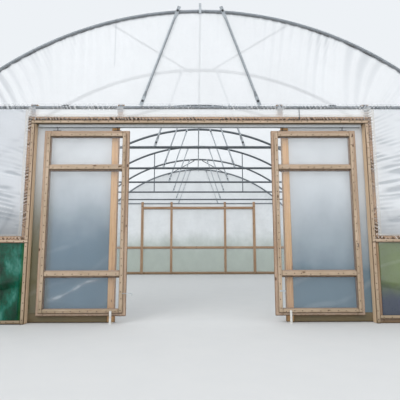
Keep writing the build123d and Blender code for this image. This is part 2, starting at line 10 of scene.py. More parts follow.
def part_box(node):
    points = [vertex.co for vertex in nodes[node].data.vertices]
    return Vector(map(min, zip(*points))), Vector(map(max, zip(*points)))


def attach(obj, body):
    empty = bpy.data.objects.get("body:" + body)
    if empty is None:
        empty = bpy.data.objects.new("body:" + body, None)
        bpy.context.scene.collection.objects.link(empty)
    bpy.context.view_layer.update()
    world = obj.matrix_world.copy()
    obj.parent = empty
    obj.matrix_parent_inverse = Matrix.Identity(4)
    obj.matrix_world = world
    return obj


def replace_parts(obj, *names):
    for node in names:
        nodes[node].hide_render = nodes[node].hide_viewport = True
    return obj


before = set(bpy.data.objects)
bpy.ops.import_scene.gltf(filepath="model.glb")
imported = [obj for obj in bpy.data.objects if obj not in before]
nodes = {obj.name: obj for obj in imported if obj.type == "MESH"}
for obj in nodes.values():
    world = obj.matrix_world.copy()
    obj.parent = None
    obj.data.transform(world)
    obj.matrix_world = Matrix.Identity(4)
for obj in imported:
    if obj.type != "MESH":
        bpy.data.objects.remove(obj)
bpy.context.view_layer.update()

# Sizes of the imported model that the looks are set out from, in metres
crown_radius = 4.9
crown_height = 4.38
haunch_angle = radians(70)
leg_radius = 3.2
tube_radius = 0.03
crossbar_radius = 0.025
bay_length, bay_count = 1.8, 6
batten_width = 0.044
stile_width = 0.095
strut_foot_x, strut_top_x = 0.830, 0.315
foot_rise, front_top_rise, inner_top_rise = 0.090, 0.045, -0.020
flat_end_length, flat_end_thickness = 0.140, 0.008
ground_rail_top = 0.1
crown_centre_z = crown_height - crown_radius
leg_centre_x = (crown_radius - leg_radius) * sin(haunch_angle)
leg_centre_z = crown_centre_z + (crown_radius - leg_radius) * cos(haunch_angle)
film_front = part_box("front_gable_film")[0].y
front_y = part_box("front_crossbar")[0].y + crossbar_radius
hoop_ys = [front_y + bay_length * index for index in range(bay_count + 1)]
crossbar_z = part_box("front_crossbar")[0].z + crossbar_radius
inner_bar_z = sum(corner.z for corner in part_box("inner_crossbars")) / 2
header_low, header_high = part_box("header")
post_inner_x = header_high.x
post_outer_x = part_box("outer_posts")[1].x
waist_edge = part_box("lower_battens")[1].z
waist_z = waist_edge - batten_width
waist_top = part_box("gable_rails")[1].z
waist_joint = waist_z + batten_width / 2
ground_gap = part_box("roof_film")[0].z
header_batten_top = header_low.z + batten_width
batten_outer_x = post_inner_x + batten_width
sides = ((-1, "left"), (1, "right"))


# Shader nodes

class Signal:
    """A node's output, which can be added, subtracted and multiplied like a number."""

    def __init__(self, socket):
        self.socket = socket
        self.tree = socket.id_data

    def beside(self, key):
        """Another output of the same node."""
        return Signal(self.socket.node.outputs[key])

    def maths(self, operation, other=None):
        return add_node(self.tree, "Math", 0, {0: self, 1: other}, operation=operation)

    def __add__(self, other):
        return self.maths("ADD", other)

    def __sub__(self, other):
        return self.maths("SUBTRACT", other)

    def __mul__(self, other):
        return self.maths("MULTIPLY", other)

    def clamped(self):
        """Hold the sum that gave this value between 0 and 1."""
        self.socket.node.use_clamp = True
        return self


def add_node(tree, kind, output, inputs=None, **settings):
    """Add a shader node and return one of its outputs.

    Inputs are given by name or number, each as a signal or a plain value.
    """
    node = tree.nodes.new("ShaderNode" + kind)
    for name, value in settings.items():
        setattr(node, name, value)
    for key, value in (inputs or {}).items():
        if isinstance(value, Signal):
            tree.links.new(value.socket, node.inputs[key])
        elif value is not None:
            node.inputs[key].default_value = value
    return Signal(node.outputs[output])


def linear(colour):
    """A shader colour from red, green and blue as displayed, 0 to 255. A signal stays as it is."""
    if isinstance(colour, Signal):
        return colour
    shares = [value / 255 for value in colour]
    return (*(share / 12.92 if share <= 0.04045 else ((share + 0.055) / 1.055) ** 2.4
              for share in shares), 1.0)


def remap(value, low, high, to_low=0.0, to_high=1.0, smooth=False):
    """Map a range of a value onto another range, clamped."""
    return add_node(value.tree, "MapRange", "Result",
                    {"Value": value, "From Min": low, "From Max": high, "To Min": to_low, "To Max": to_high},
                    interpolation_type="SMOOTHSTEP" if smooth else "LINEAR")


def mix_colour(factor, a, b):
    return add_node(factor.tree, "Mix", 2, {0: factor, 6: linear(a), 7: linear(b)}, data_type="RGBA")


def noise_node(vector, scale, detail, roughness):
    return add_node(vector.tree, "TexNoise", "Fac",
                    {"Vector": vector, "Scale": scale, "Detail": detail, "Roughness": roughness})


def stretched(vector, scale):
    """Coordinates scaled apart along each axis."""
    return add_node(vector.tree, "VectorMath", 0, {0: vector, 1: scale}, operation="MULTIPLY")


def ramp(value, stops):
    """A colour ramp with (position, colour) stops."""
    colour = add_node(value.tree, "ValToRGB", "Color", {"Fac": value})
    elements = colour.socket.node.color_ramp.elements
    while len(elements) > 1:
        elements.remove(elements[-1])
    elements[0].position, elements[0].color = stops[0][0], linear(stops[0][1])
    for position, shade in stops[1:]:
        elements.new(position).color = linear(shade)
    return colour


def bump(height, strength, distance):
    return add_node(height.tree, "Bump", "Normal",
                    {"Height": height, "Strength": strength, "Distance": distance})


def stored(tree, name, output="Fac"):
    """What the mesh carries under a name at each point."""
    return add_node(tree, "Attribute", output, attribute_name=name)


def split_xyz(vector):
    first = add_node(vector.tree, "SeparateXYZ", 0, {0: vector})
    return [first.beside(axis) for axis in range(3)]


def facing(tree):
    """The three parts of the direction that a face is turned to."""
    return split_xyz(add_node(tree, "NewGeometry", "Normal"))


def principled(colour, roughness, metallic=0.0, normal=None, specular=0.5):
    return add_node(colour.tree, "BsdfPrincipled", 0,
                    {"Base Color": colour, "Roughness": roughness, "Metallic": metallic, "Normal": normal,
                     "Specular IOR Level": specular})


def blend(factor, a, b):
    return add_node(a.tree, "MixShader", 0, {0: factor, 1: a, 2: b})


def see_through(cover, shader):
    """Let what lies behind show, as far as the cover falls short of 1."""
    return blend(cover, add_node(shader.tree, "BsdfTransparent", 0), shader)


def new_material(name):
    """An empty node material, and the place in the row frame, since every object sits at the origin."""
    material = bpy.data.materials.new(name)
    material.use_nodes = True
    material.node_tree.nodes.clear()
    return material, add_node(material.node_tree, "TexCoord", "Object")


def show(shader, kind="Material"):
    """Send a shader to the output of its material or world."""
    output = shader.tree.nodes.new("ShaderNodeOutput" + kind)
    shader.tree.links.new(shader.socket, output.inputs["Surface"])


# Materials

def galvanised(name, pale, dark, roughness=0.5, grime=0.5):
    """Dull zinc with faint spangle and scuffs, and painted shade on its undersides."""
    material, place = new_material(name)
    cells = split_xyz(add_node(place.tree, "TexVoronoi", "Color", {"Vector": place, "Scale": 70}))[0]
    cloud = noise_node(place, 3.5, 5, 0.6)
    colour = ramp(cells * 0.35 + cloud * 0.65, [(0.25, dark), (0.75, pale)])
    scuffs = remap(noise_node(stretched(place, (1.0, 1.0, 2.2)), 22, 3, 0.7), 0.62, 0.74)
    colour = mix_colour(scuffs * 0.35, colour, (196, 201, 204))
    # Painted shade on faces turned down, as deep as grime asks.
    underside_shade = remap(facing(place.tree)[2], 0.1, -0.6, 0.0, grime, smooth=True)
    colour = mix_colour(underside_shade, colour, (56, 60, 62))
    rough = remap(cells, 0, 1, roughness - 0.08, roughness + 0.12)
    show(principled(colour, rough, 0.35, bump(cloud, 0.15, 0.002)))
    return material


def timber(name, pale, mid, dark, grey, grey_share, edge=None, edge_share=0.6, under=None):
    """Sawn softwood: streaks along the grain, growth rings, knots, and weather that greys it low down.

    edge is painted on faces turned to the sides, as painted shade where it is darker and painted light where
    it is lighter, and under on faces turned down, as painted shade. The mesh carries each point's distance
    from its board's left, right and lower edge, which are darker.
    """
    material, place = new_material(name)
    tree = place.tree
    grain = stored(tree, "grain", "Vector")
    wander = noise_node(stretched(grain, (0.9, 6.0, 6.0)), 1.6, 3, 0.5)
    bent = add_node(tree, "VectorMath", 0,
                    {0: stretched(grain, (0.35, 1.0, 1.0)), 1: stretched(wander, (0.03, 0.022, 0.022))},
                    operation="ADD")
    rings = add_node(tree, "TexWave", "Fac", {"Vector": bent, "Scale": 26, "Distortion": 2.5, "Detail": 2},
                     wave_type="RINGS", rings_direction="X")
    streaks = noise_node(stretched(grain, (2.4, 95.0, 95.0)), 1.0, 5, 0.62)
    broad = noise_node(stretched(grain, (1.1, 9.0, 9.0)), 1.0, 4, 0.55)
    colour = ramp(streaks * 0.5 + rings * 0.17 + broad * 0.42, [(0.32, dark), (0.52, mid), (0.76, pale)])
    cells = add_node(tree, "TexVoronoi", "Color",
                     {"Vector": stretched(grain, (7.0, 15.0, 15.0)), "Scale": 1.0})
    chosen = remap(split_xyz(cells)[1], 0.80, 0.84)
    knots = remap(cells.beside("Distance"), 0.22, 0.10, smooth=True) * chosen
    height = split_xyz(place)[2]
    patches = noise_node(place, 2.3, 5, 0.6)
    low = remap(height, 0.9, 0.05, 0.0, 0.35, smooth=True)
    weather = (remap(patches, 0.36, 0.72, 0.0, grey_share) + low).clamped()
    soil = remap(height + patches * 0.12, 0.17, 0.05, 0.0, 0.6, smooth=True)
    from_left, from_right, from_bottom = split_xyz(stored(tree, "margin", "Vector"))
    ragged = (noise_node(place, 38, 3, 0.6) - 0.5) * 0.02
    beside = remap(from_left.maths("MINIMUM", from_right) + ragged, 0.010, 0.002, 0.0, 0.4, smooth=True)
    below = remap(from_bottom + ragged, 0.017, 0.006, 0.0, 0.75, smooth=True)
    for share, shade in ((knots, mix_colour(broad, (96, 58, 36), (70, 44, 30))),
                         (weather, mix_colour(streaks, grey, dark)),
                         (soil, (104, 92, 66)),
                         (below.maths("MAXIMUM", beside), (66, 44, 26))):
        colour = mix_colour(share, colour, shade)
    _, to_front, upward = facing(tree)
    # A lighter edge is painted light on faces turned to the sides, a darker edge painted shade; under is
    # painted shade on faces turned down.
    if edge:
        sideways = remap(to_front.maths("ABSOLUTE"), 0.7, 0.3, 0.0, edge_share)
        colour = mix_colour(sideways, colour, mix_colour(streaks * 0.35, edge, dark))
    if under:
        colour = mix_colour(remap(upward, -0.5, -0.8, 0.0, 0.85), colour, under)
    show(principled(colour, remap(streaks, 0.3, 0.7, 0.72, 0.9),
                    normal=bump(streaks - knots * 0.4, 0.5, 0.003), specular=0.25))
    return material


def film(name, cover, tint, clear=0.06, deep=None, cloudy=0.05, low_z=None, high_z=None, glow=0.35,
         shadow=0.3, grime=0.5, rim=None, bend=1.0):
    """Diffusing film. It is clear where it lies on steel or timber and milky where it stands off.

    cover is how much it hides, tint its colour, deep a second colour that it turns to lower down, and
    rim a third that deep turns to between two places along x. bend below 1 keeps tint further down.
    The mesh carries how far each point stands off its nearest support, and how sharply it is creased.
    Ridges are painted as highlight, furrows as shadow grey, and furrows that lie on a support are painted
    darker, as shade and grime.
    """
    material, place = new_material(name)
    tree = place.tree
    crease = stored(tree, "crease")
    cloud = noise_node(stretched(place, (1.0, 0.4, 0.8)), 1.7, 4, 0.55)
    colour = tint
    if deep:
        across, _, height = split_xyz(place)
        down = remap(height + cloud * 0.5, low_z + 0.25, high_z + 0.25, smooth=True).maths("POWER", bend)
        if rim:
            deep = mix_colour(remap(across, rim[0], rim[1]), deep, rim[2])
        colour = mix_colour(down, deep, tint)
    colour = mix_colour(remap(cloud, 0.3, 0.7, 1.0 - cloudy, 1.0), (0, 0, 0), colour)
    ridge = remap(crease, 0.12, 0.85)
    furrow = remap(crease, -0.1, -0.9)
    off = remap(stored(tree, "stand_off"), -0.001, 0.012, smooth=True)
    furrow_shade_and_grime = furrow * (off * -1.0 + 1.0)
    # Painted highlight on ridges, painted shadow grey in furrows, and painted shade and grime in furrows that
    # lie on a support.
    colour = mix_colour(ridge * 0.8, colour, (253, 254, 254))
    colour = mix_colour(furrow * shadow, colour, (140, 148, 156))
    colour = mix_colour(furrow_shade_and_grime, colour, (62, 48, 34))
    alpha = (remap(off, 0, 1, clear, cover) + (cloud - 0.5) * 0.10).clamped()
    alpha = alpha.maths("MAXIMUM", ridge * 0.72).maths("MAXIMUM", furrow_shade_and_grime * grime)
    front = principled(colour, remap(noise_node(place, 34, 3, 0.6), 0.3, 0.7, 0.24, 0.4), specular=0.3)
    through = add_node(tree, "BsdfTranslucent", 0, {"Color": colour})
    show(see_through(alpha, blend(glow, front, through)))
    return material


def netting(name, weft_gap=0.004, warp_gap=0.007):
    """Knitted windbreak netting, its tapes a few millimetres apart, darker over timber."""
    material, place = new_material(name)
    seat, crease = stored(place.tree, "stand_off"), stored(place.tree, "crease")
    cloud = noise_node(stretched(place, (1.4, 1.0, 0.8)), 2.6, 5, 0.62)
    across, _, height = split_xyz(place)
    weft = (height * (tau / weft_gap)).maths("SINE")
    warp = (across * (tau / warp_gap)).maths("SINE")
    knit = weft.maths("MAXIMUM", warp)
    colour = ramp(cloud, [(0.38, (0, 44, 26)), (0.50, (0, 78, 56)), (0.57, (30, 108, 90)),
                          (0.68, (84, 146, 132))])
    # Painted highlight on crease ridges and painted shade in furrows.
    colour = mix_colour(remap(crease, 0.2, 1.0, 0.0, 0.35), colour, (96, 168, 150))
    colour = mix_colour(remap(crease, -0.2, -1.0, 0.0, 0.6), colour, (2, 62, 44))
    colour = mix_colour(remap(seat, 0.004, -0.002, 0.0, 0.55), colour, (52, 92, 34))
    tapes = principled(colour, 0.8, normal=bump(knit, 0.4, 0.0015), specular=0.1)
    show(see_through(remap(knit, -0.6, 0.3, 0.86, 0.99), tapes))
    return material


def plastic(name, colour, dusty):
    """Moulded plastic with a little grime."""
    material, place = new_material(name)
    grime = noise_node(place, 24, 5, 0.65)
    show(principled(mix_colour(remap(grime, 0.45, 0.75, 0.0, 0.55), colour, dusty),
                    remap(grime, 0.3, 0.7, 0.38, 0.6), normal=bump(grime, 0.1, 0.001)))
    return material


# Copies of one zinc. The struts, ridge, track and inner struts are painted lighter, as painted light, and the
# inner tubes darker, as painted shade; grime sets the painted shade on their undersides.
steel = galvanised("galvanised_tube", (158, 164, 170), (116, 122, 127))
strut_steel = galvanised("strut_zinc", (188, 194, 198), (148, 154, 159))
painted_light_ridge_steel = galvanised("painted_light_ridge_zinc", (200, 206, 210), (166, 172, 176), grime=0.3)
painted_light_track_steel = galvanised("painted_light_track_zinc", (240, 242, 243), (218, 222, 224), 0.45, grime=0.9)
painted_shade_inner_steel = galvanised("painted_shade_inner_tube", (126, 132, 137), (94, 100, 105), 0.55)
painted_light_inner_strut_steel = galvanised("painted_light_inner_strut_zinc", (212, 217, 221), (180, 186, 190), 0.55)
bright_steel = galvanised("bright_zinc", (206, 212, 215), (160, 167, 171), 0.38)
nail_steel = galvanised("rusty_nail", (96, 76, 60), (66, 50, 40), 0.6)
dark_steel = galvanised("dull_wire", (92, 94, 96), (58, 58, 60), 0.55)
white_plastic = plastic("white_guide", (226, 226, 221), (170, 160, 140))
# Painted shade for faces turned down. The side colours of planed_softwood and sawn_batten are painted shade,
# and that of gable_softwood painted light.
shade_under_timber = (50, 42, 18)
frame_wood = timber("planed_softwood", (216, 190, 166), (198, 168, 142), (160, 124, 96), (168, 160, 146),
                    0.25, edge=(118, 84, 54), under=(84, 56, 32))
batten_wood = timber("sawn_batten", (220, 200, 176), (198, 174, 150), (150, 120, 94), (158, 150, 124),
                     0.55, edge=(84, 68, 34), edge_share=0.85, under=shade_under_timber)
gable_wood = timber("gable_softwood", (208, 176, 146), (186, 150, 120), (150, 108, 80), (160, 150, 128),
                    0.45, edge=(252, 224, 188), edge_share=0.85, under=shade_under_timber)
jamb_wood = timber("new_softwood", (246, 202, 148), (234, 184, 128), (198, 144, 92), (190, 160, 128), 0.15)
board_wood = timber("gravel_board", (168, 146, 116), (142, 122, 94), (104, 86, 62), (128, 126, 104), 0.7)


# Mesh helpers

def add_object(name, data):
    thing = bpy.data.objects.new(name, data)
    bpy.context.scene.collection.objects.link(thing)
    return thing


class Shape:
    """Points and faces gathered into one mesh, with a value or vector stored at each point."""

    def __init__(self):
        self.points = []
        self.faces = []
        self.values = {}

    def add(self, points, faces, **values):
        start = len(self.points)
        self.points += points
        self.faces += [tuple(index + start for index in face) for face in faces]
        for name, column in values.items():
            self.values.setdefault(name, []).extend(column)

    def piece(self, name, material, body, slot, smooth=False):
        mesh = bpy.data.meshes.new(name)
        mesh.from_pydata(self.points, [], self.faces)
        for key, column in self.values.items():
            vector = hasattr(column[0], "__len__")
            layer = mesh.attributes.new(key, "FLOAT_VECTOR" if vector else "FLOAT", "POINT")
            layer.data.foreach_set("vector" if vector else "value", np.array(column, np.float32).ravel())
        mesh.polygons.foreach_set("use_smooth", [smooth] * len(mesh.polygons))
        mesh.materials.append(material)
        mesh.validate()
        mesh.update()
        piece = add_object(name, mesh)
        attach(piece, body)
        return piece


def ripple(seed, place, scale=1.0):
    """Smooth repeatable noise from -1 to 1."""
    return noise.noise(Vector((place[0] * scale + seed * 7.3, place[1] * scale - seed * 3.1,
                               place[2] * scale + seed * 1.7)))


def smooth_step(low, high, value):
    share = min(max((value - low) / (high - low), 0.0), 1.0)
    return share * share * (3 - 2 * share)


def ring_faces(count, rings):
    """Faces of a closed tube of rings, each of count points."""
    faces = []
    for start in range(0, (rings - 1) * count, count):
        for index in range(count):
            after = (index + 1) % count
            faces.append((start + index, start + after, start + count + after, start + count + index))
    faces.append(tuple(range(count))[::-1])
    faces.append(tuple((rings - 1) * count + index for index in range(count)))
    return faces


def add_board(shape, low, high, seed, darker_top_edge=False):
    """A sawn timber that fills a box, with eased arrises, a slight waver and its own grain.

    Its lower edge is darker, or its top edge where gathered film lies on it.
    """
    largest_ease, end_ease, waver, step_length, pith_offset = 0.0035, 0.002, 0.0006, 0.14, 0.09
    low, high = Vector(low), Vector(high)
    size = high - low
    along = max(range(3), key=lambda axis: size[axis])
    across = [axis for axis in range(3) if axis != along]
    wide, deep = size[across[0]], size[across[1]]
    ease = min(largest_ease, wide * 0.16, deep * 0.16)
    steps = max(2, int(size[along] / step_length))
    lengths = [0.0, end_ease] + [size[along] * k / steps for k in range(1, steps)]
    lengths += [size[along] - end_ease, size[along]]
    outline = [(ease, 0), (wide - ease, 0), (wide, ease), (wide, deep - ease),
               (wide - ease, deep), (ease, deep), (0, deep - ease), (0, ease)]
    pith = Vector((ripple(seed, (0.3, 0.1, 0.7), 9.0), ripple(seed, (0.9, 0.4, 0.2), 9.0))) * pith_offset
    points, grain, margin = [], [], []
    for ring, length in enumerate(lengths):
        inset = end_ease if ring in (0, len(lengths) - 1) else 0.0
        for u, v in outline:
            u = min(max(u, inset), wide - inset)
            v = min(max(v, inset), deep - inset)
            point = low.copy()
            point[along] += length
            shave = waver * (1 + ripple(seed, (length, u * 9, v * 9), 2.1)) / 2
            point[across[0]] += u + (shave if u < wide / 2 else -shave)
            point[across[1]] += v + (shave if v < deep / 2 else -shave)
            points.append(tuple(point))
            grain.append((length + seed * 3.7, u - wide / 2 + pith.x, v - deep / 2 + pith.y))
            margin.append((point.x - low.x, high.x - point.x,
                           high.z - point.z if darker_top_edge else point.z - low.z))
    shape.add(points, ring_faces(len(outline), len(lengths)), grain=grain, margin=margin)


def solids_of(node):
    """Lowest and highest corner of each solid in a CAD node."""
    work = bmesh.new()
    work.from_mesh(nodes[node].data)
    bmesh.ops.remove_doubles(work, verts=work.verts, dist=1e-5)
    left, boxes = set(work.verts), []
    while left:
        fresh = group = {next(iter(left))}
        while fresh:
            fresh = {edge.other_vert(vert) for vert in fresh for edge in vert.link_edges} - group
            group = group | fresh
        left -= group
        xyz = np.array([vert.co for vert in group])
        boxes.append((Vector(xyz.min(0)), Vector(xyz.max(0))))
    work.free()
    return sorted(boxes, key=lambda box: tuple(round(value, 3) for value in (*box[0], *box[1])))


def boards_from(node, material, slot="weathered_timber", body="tunnel", cut=None, darker_top_edge=False):
    """Replace a CAD node of plain timbers by sawn boards of the same sizes."""
    shape = Shape()
    for index, (low, high) in enumerate(solids_of(node)):
        for part_low, part_high in (cut(low, high) if cut else [(low, high)]):
            add_board(shape, part_low, part_high, len(node) + index * 1.37, darker_top_edge)
    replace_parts(shape.piece(f"{node}_boards", material, body, slot), node)


def add_rings(shape, rings, corners, turn=0.0):
    """A closed tube through rings, each given by its centre and two radii at right angles."""
    points = []
    for centre, right, up in rings:
        for index in range(corners):
            angle = tau * index / corners + turn
            points.append(tuple(centre + right * cos(angle) + up * sin(angle)))
    shape.add(points, ring_faces(corners, len(rings)))


def add_disc(shape, centre, face, radius, thickness, corners, dome=0.0, turn=0.0):
    """A nail head, washer or nut on a face turned to the front (-1) or the rear (1), domed if asked."""
    rings = [(radius, 0.0), (radius, thickness)]
    if dome:
        rings += [(radius * 0.7, thickness + dome * 0.7), (radius * 0.3, thickness + dome)]
    else:
        rings += [(radius * 0.86, thickness * 1.12)]
    add_rings(shape, [(Vector(centre) + Vector((0, face * lift, 0)), Vector((-face * size, 0, 0)),
                       Vector((0, 0, size))) for size, lift in rings], corners, turn)


def add_bolt(shape, x, y, z, face, radius=0.009):
    """A round washer, a hexagon head and the bolt's end."""
    for spread, height, corners, turn in ((2.0, 0.3, 14, 0.0), (1.55, 0.95, 6, 0.3), (0.8, 0.6, 8, 0.0)):
        add_disc(shape, (x, y, z), face, radius * spread, radius * height, corners, turn=turn)
        y += face * radius * height


def add_rod(shape, path, radius, corners=8):
    """A round rod through points that share one x."""
    path = [Vector(point) for point in path]
    sideways = Vector((radius, 0, 0))
    neighbours = zip(path[:1] + path, path, path[1:] + path[-1:])
    add_rings(shape, [(point, sideways.cross((after - before).normalized()), sideways)
                      for before, point, after in neighbours], corners)


def hoop_x(height, grow):
    """Distance from the centre line to a hoop's axis, or to a line parallel to it."""
    radius, leg = crown_radius + grow, leg_radius + grow
    if height > crown_centre_z + radius * cos(haunch_angle):
        return sqrt(max(radius**2 - (height - crown_centre_z) ** 2, 0.0))
    if height > leg_centre_z:
        return leg_centre_x + sqrt(leg**2 - (height - leg_centre_z) ** 2)
    return leg_centre_x + leg


def hoop_top(x, grow):
    """Height of a line parallel to a hoop's axis at a distance from the centre line."""
    x = abs(x)
    radius, leg = crown_radius + grow, leg_radius + grow
    if x <= radius * sin(haunch_angle):
        return crown_centre_z + sqrt(radius**2 - x * x)
    return leg_centre_z + sqrt(max(leg**2 - (x - leg_centre_x) ** 2, 0.0))


def hoop_reach(x, z):
    """Distance of a point inward from the hoop's axis."""
    x = abs(x)
    if x * cos(haunch_angle) < (z - crown_centre_z) * sin(haunch_angle):
        return crown_radius - hypot(x, z - crown_centre_z)
    if z > leg_centre_z:
        return leg_radius - hypot(x - leg_centre_x, z - leg_centre_z)
    return leg_centre_x + leg_radius - x


def arc_length(x, z):
    """Distance along the crown arc from the ridge to above a point."""
    return np.arctan2(x, z - crown_centre_z) * crown_radius


# Camera, floor and light

focal_pixels, image_pixels, sensor_width = 381.4251, 400, 36
camera_place = Vector((-0.0465, -10.533, 0.9266))
yaw, pitch, roll = radians(0.438), radians(7.691), radians(-0.123)


def make_camera():
    """A camera in front of the doors, tilted up a little."""
    data = bpy.data.cameras.new("camera")
    data.sensor_width = sensor_width
    data.lens = focal_pixels / image_pixels * sensor_width
    data.clip_end = 400
    ahead = Vector((sin(yaw) * cos(pitch), cos(yaw) * cos(pitch), sin(pitch)))
    right = Vector((cos(yaw), -sin(yaw), 0))
    up = right.cross(ahead)
    axes = Matrix((right * cos(roll) + up * sin(roll), up * cos(roll) - right * sin(roll), -ahead))
    camera = add_object("camera", data)
    camera.matrix_world = Matrix.Translation(camera_place) @ axes.transposed().to_4x4()
    bpy.context.scene.camera = camera


def make_world(backdrop, ambient, ambient_strength):
    """Even light from all round, which shows as a pale backdrop where it is seen directly."""
    world = bpy.data.worlds.new("backdrop")
    bpy.context.scene.world = world
    world.use_nodes = True
    tree = world.node_tree
    tree.nodes.clear()
    direct = from_camera = add_node(tree, "LightPath", "Is Camera Ray")
    for other in ("Is Glossy Ray", "Is Transmission Ray"):
        direct = direct.maths("MAXIMUM", from_camera.beside(other))
    lit = add_node(tree, "Background", 0, {"Color": linear(ambient), "Strength": ambient_strength})
    show(blend(direct, lit, add_node(tree, "Background", 0, {"Color": linear(backdrop)})), "World")


def make_sun(name, direction, strength, softness):
    data = bpy.data.lights.new(name, "SUN")
    data.energy = strength
    data.angle = radians(softness)
    lamp = add_object(name, data)
    lamp.rotation_mode = "QUATERNION"
    lamp.rotation_quaternion = Vector(direction).to_track_quat("-Z", "Y")


def make_floor(size, colour, speckled):
    """A plain pale floor, just below the ground so that nothing rests in it."""
    material, place = new_material("floor")
    show(principled(mix_colour(noise_node(place, 3, 3, 0.5), colour, speckled), 0.9, specular=0.1))
    mesh = bpy.data.meshes.new("floor")
    mesh.from_pydata([(-size, -size, 0), (size, -size, 0), (size, size, 0), (-size, size, 0)], [],
                     [(0, 1, 2, 3)])
    mesh.materials.append(material)
    floor_piece = add_object("floor", mesh)
    floor_piece.location.z = -0.001


bpy.context.scene.view_settings.view_transform = "Standard"
make_camera()
make_world((238, 242, 246), (241, 244, 249), 1.08)
make_sun("soft_key", (0.42, 0.62, -0.66), 0.7, 35)
make_sun("soft_top", (-0.15, 0.1, -1.0), 0.35, 60)
make_floor(150, (214, 214, 212), (208, 209, 208))


# Steel and plastic that keep their CAD shape

inner_hoops = [f"hoop_{index}" for index in range(2, bay_count + 1)]
for material, names in (
        (steel, ["front_hoop", "rear_hoop", "front_crossbar", "rear_crossbar", "post_saddles"]),
        (strut_steel, ["front_struts", "rear_struts"]),
        (painted_light_ridge_steel, ["ridge_purlin"]),
        (painted_shade_inner_steel, inner_hoops + ["inner_crossbars", "wind_braces", "drop_struts"]),
        (painted_light_inner_strut_steel, ["inner_struts"]),
        (painted_light_track_steel, ["door_track", "track_brackets"]),
        (dark_steel, ["left_door_hangers", "right_door_hangers", "right_door_pull"]),
        (bright_steel, ["left_door_hook", "right_door_hasp"]),
        (white_plastic, ["door_guides"])):
    for name in names:
        nodes[name].data.materials.clear()
        nodes[name].data.materials.append(material)


# Timber

def rail_middles(side_name):
    """Heights of the middles of the two rails between a door's head and foot, from its battens."""
    rails = [box for box in solids_of(f"{side_name}_door_battens")
             if box[1].x - box[0].x > box[1].z - box[0].z]
    return sorted((low.z + high.z) / 2 for low, high in rails)[1:-1]


def door_boards(side_name, rail_inset=0.0006):
    """How a door frame's box divides into two stiles and four rails."""
    middles = rail_middles(side_name)

    def cut(low, high):
        stiles = [((x, low.y, low.z), (x + stile_width, high.y, high.z))
                  for x in (low.x, high.x - stile_width)]
        bottoms = [low.z] + [middle - stile_width / 2 for middle in middles] + [high.z - stile_width]
        rails = [((low.x + stile_width, low.y + rail_inset, bottom),
                  (high.x - stile_width, high.y - rail_inset, bottom + stile_width)) for bottom in bottoms]
        return stiles + rails
    return cut


def post_boards(low, high):
    """A post that passes the header: its full section up to there, then the tongue behind the crossbar."""
    if low.z > header_low.z or high.z < header_high.z:
        return [(low, high)]
    front, back = low.y, high.y
    if front < 0:
        front = front_y + crossbar_radius
    else:
        back = -front_y - crossbar_radius
    return [(low, (high.x, high.y, header_high.z)), ((low.x, front, header_high.z), (high.x, back, high.z))]


for name in ("outer_posts", "rear_posts"):
    boards_from(name, gable_wood, cut=post_boards)
for material, names in ((gable_wood, ("header", "header_studs", "gable_rails", "rear_header", "rear_rails")),
                        (frame_wood, ("panel_head", "panel_stiles")),
                        (jamb_wood, ("jamb_posts",)),
                        (board_wood, ("sill_boards", "base_boards"))):
    for name in names:
        boards_from(name, material)
for name in ("surround_battens", "lower_battens", "rear_battens"):
    boards_from(name, batten_wood, "batten_timber", darker_top_edge=name == "surround_battens")
for _, side_name in sides:
    boards_from(f"{side_name}_door_frame", frame_wood, body=f"{side_name}_door", cut=door_boards(side_name))
    boards_from(f"{side_name}_door_battens", batten_wood, "batten_timber", f"{side_name}_door")


# Nails and bolts

nail_pitch, nail_radius, nail_height, nail_dome = 0.11, 0.0068, 0.0012, 0.0004
uneven_spacing, uneven_line = 0.42, 0.26


def nails(shape, node, face, seed):
    """Nail heads along each batten of a node, a little out of line and unevenly spaced."""
    for index, (low, high) in enumerate(solids_of(node)):
        size = high - low
        along, cross = (0, 2) if size.x > size.z else (2, 0)
        count = max(2, round(size[along] / nail_pitch))
        for step in range(count):
            share = (step + 0.5 + uneven_spacing * ripple(seed + index, (step * 1.7, 0.4, 0.2))) / count
            place = (low + high) / 2
            place[along] = low[along] + size[along] * share
            place[cross] += size[cross] * uneven_line * ripple(seed + index, (step * 2.3, 1.4, 0.8))
            place.y = low.y if face < 0 else high.y
            add_disc(shape, place, face, nail_radius, nail_height, 8, nail_dome)


for piece_name, battens, face, body in (
        ("front_nails", ("surround_battens", "lower_battens"), -1, "tunnel"),
        ("rear_nails", ("rear_battens",), 1, "tunnel"),
        ("left_door_nails", ("left_door_battens",), -1, "left_door"),
        ("right_door_nails", ("right_door_battens",), -1, "right_door")):
    nail_shape = Shape()
    for index, node in enumerate(battens):
        nails(nail_shape, node, face, index * 5.0 + len(piece_name))
    nail_shape.piece(piece_name, nail_steel, body, "galvanised_steel")


def strut_bolts(shape, y, face, bar_z, rise):
    """Bolts through the flattened ends of one pair of struts."""
    foot = Vector((strut_foot_x, 0, bar_z + foot_rise - flat_end_length / 2))
    passing = Vector((strut_top_x, 0, hoop_top(strut_top_x, 0.0) + tube_radius))
    lean = (passing - foot).normalized()
    for side, _ in sides:
        for point in (foot + lean * flat_end_length / 2, passing + lean * (rise - flat_end_length / 2)):
            add_bolt(shape, side * point.x, y, point.z, face)


bolt_shape = Shape()
for face in (-1, 1):
    strut_bolts(bolt_shape, face * (flat_end_thickness - film_front), face, crossbar_z, front_top_rise)
for hoop_y in hoop_ys[1:-1]:
    strut_bolts(bolt_shape, hoop_y - tube_radius - flat_end_thickness, -1, inner_bar_z, inner_top_rise)
bolt_shape.piece("strut_bolts", dark_steel, "tunnel", "galvanised_steel")

